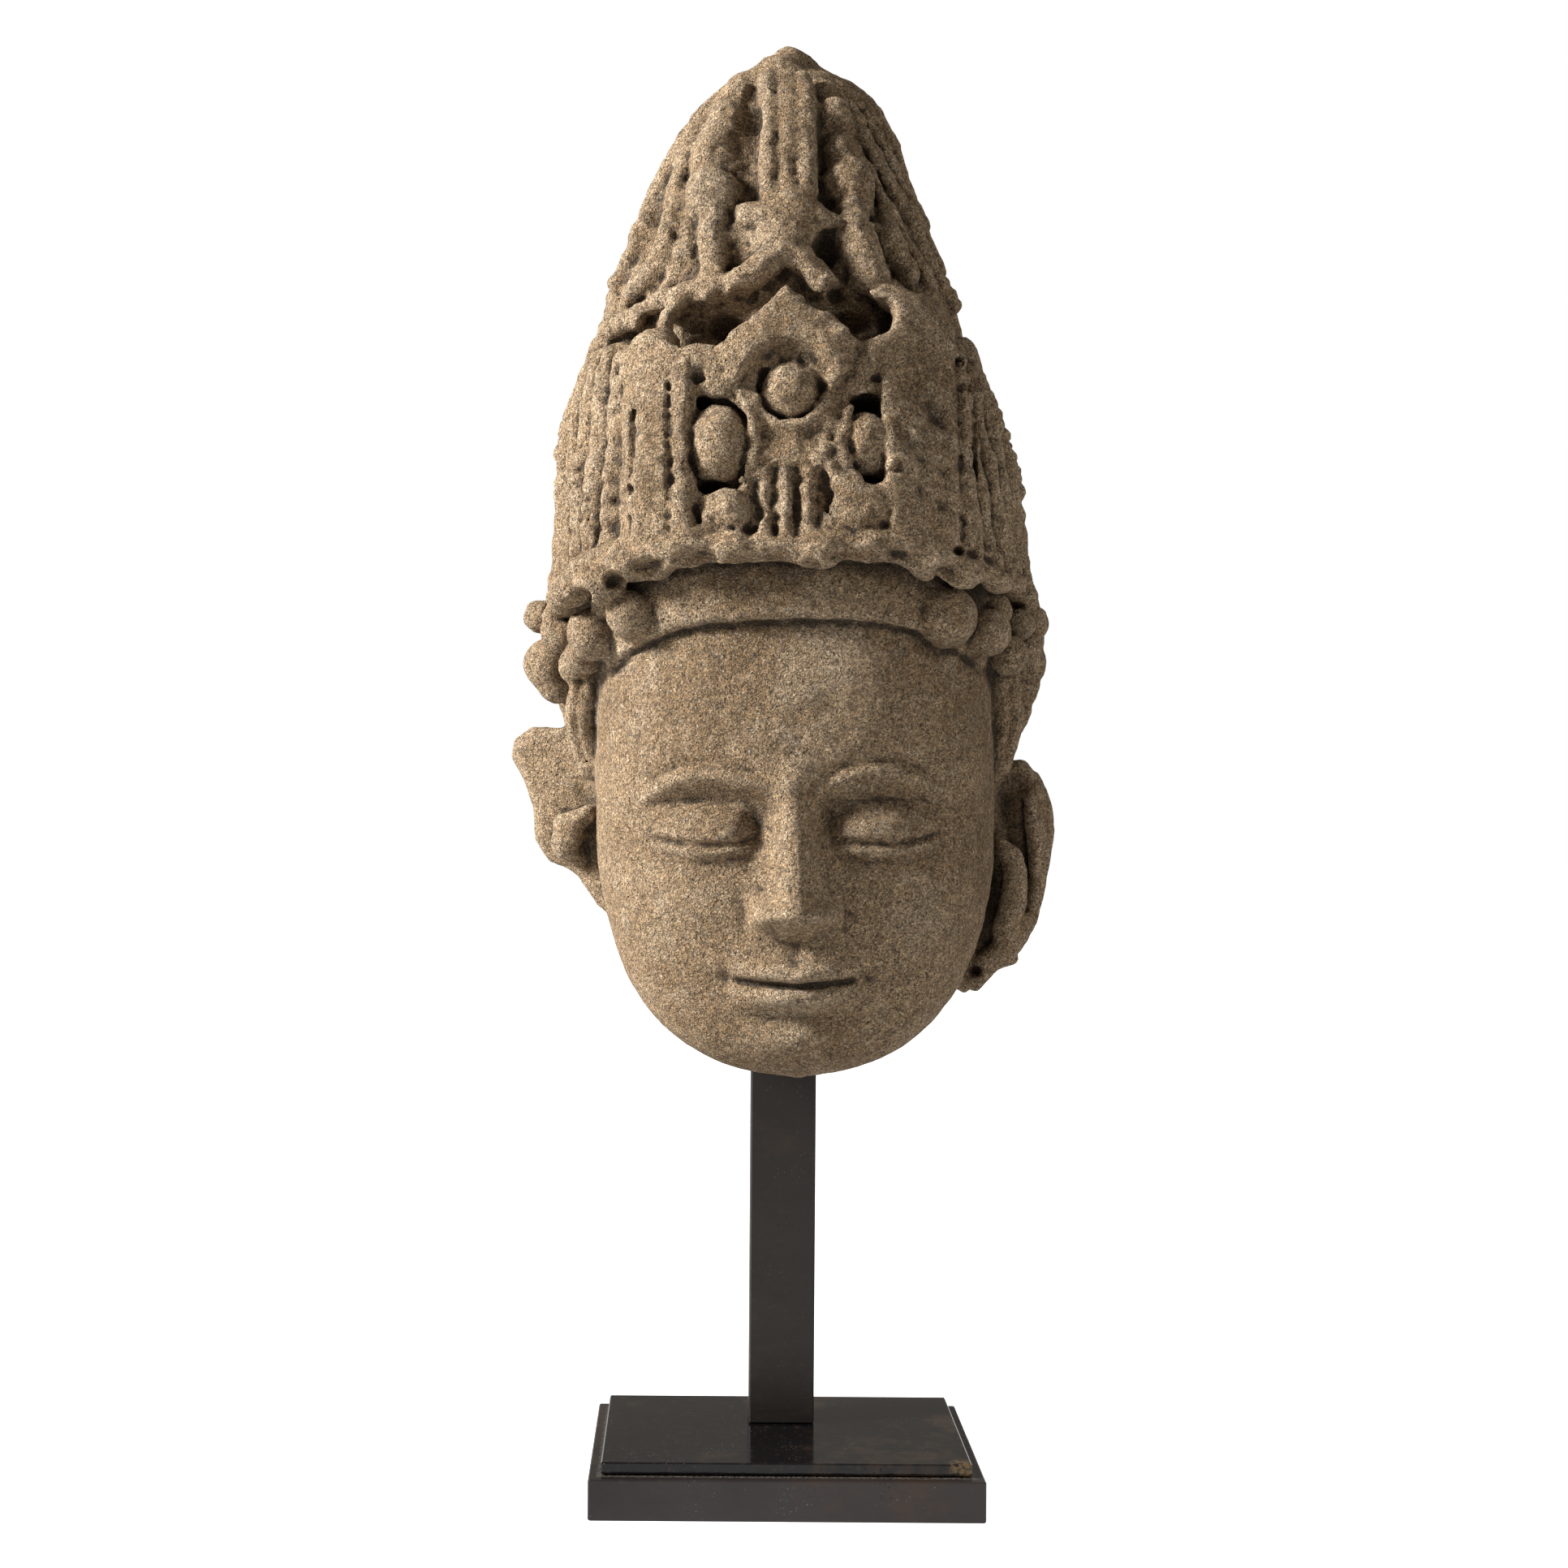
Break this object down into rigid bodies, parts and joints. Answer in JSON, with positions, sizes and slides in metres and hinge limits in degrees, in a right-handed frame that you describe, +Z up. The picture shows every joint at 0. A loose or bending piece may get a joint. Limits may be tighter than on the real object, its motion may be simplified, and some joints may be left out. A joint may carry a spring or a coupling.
{
  "type": "vishnu head",
  "caption": "Weathered sandstone head with a tall carved crown, held on a flat metal post over a stepped rectangular metal plate.",
  "frame": {"origin": "centre of the stand's underside, where it rests on a shelf or plinth", "axes": "+Z up along the post to the crown's tip, -Y the way the face looks, +X to the right seen from the front"},
  "size_m": [0.2168, 0.1832, 0.5693],
  "materials": {
    "sandstone": "coarse, weathered, matt",
    "blackened_steel": "black-brown patina, satin"
  },
  "bodies": {
    "root": {"stone_head": "sandstone", "post": "blackened_steel", "upper_plate": "blackened_steel", "lower_plate": "blackened_steel"}
  },
  "joints": []
}
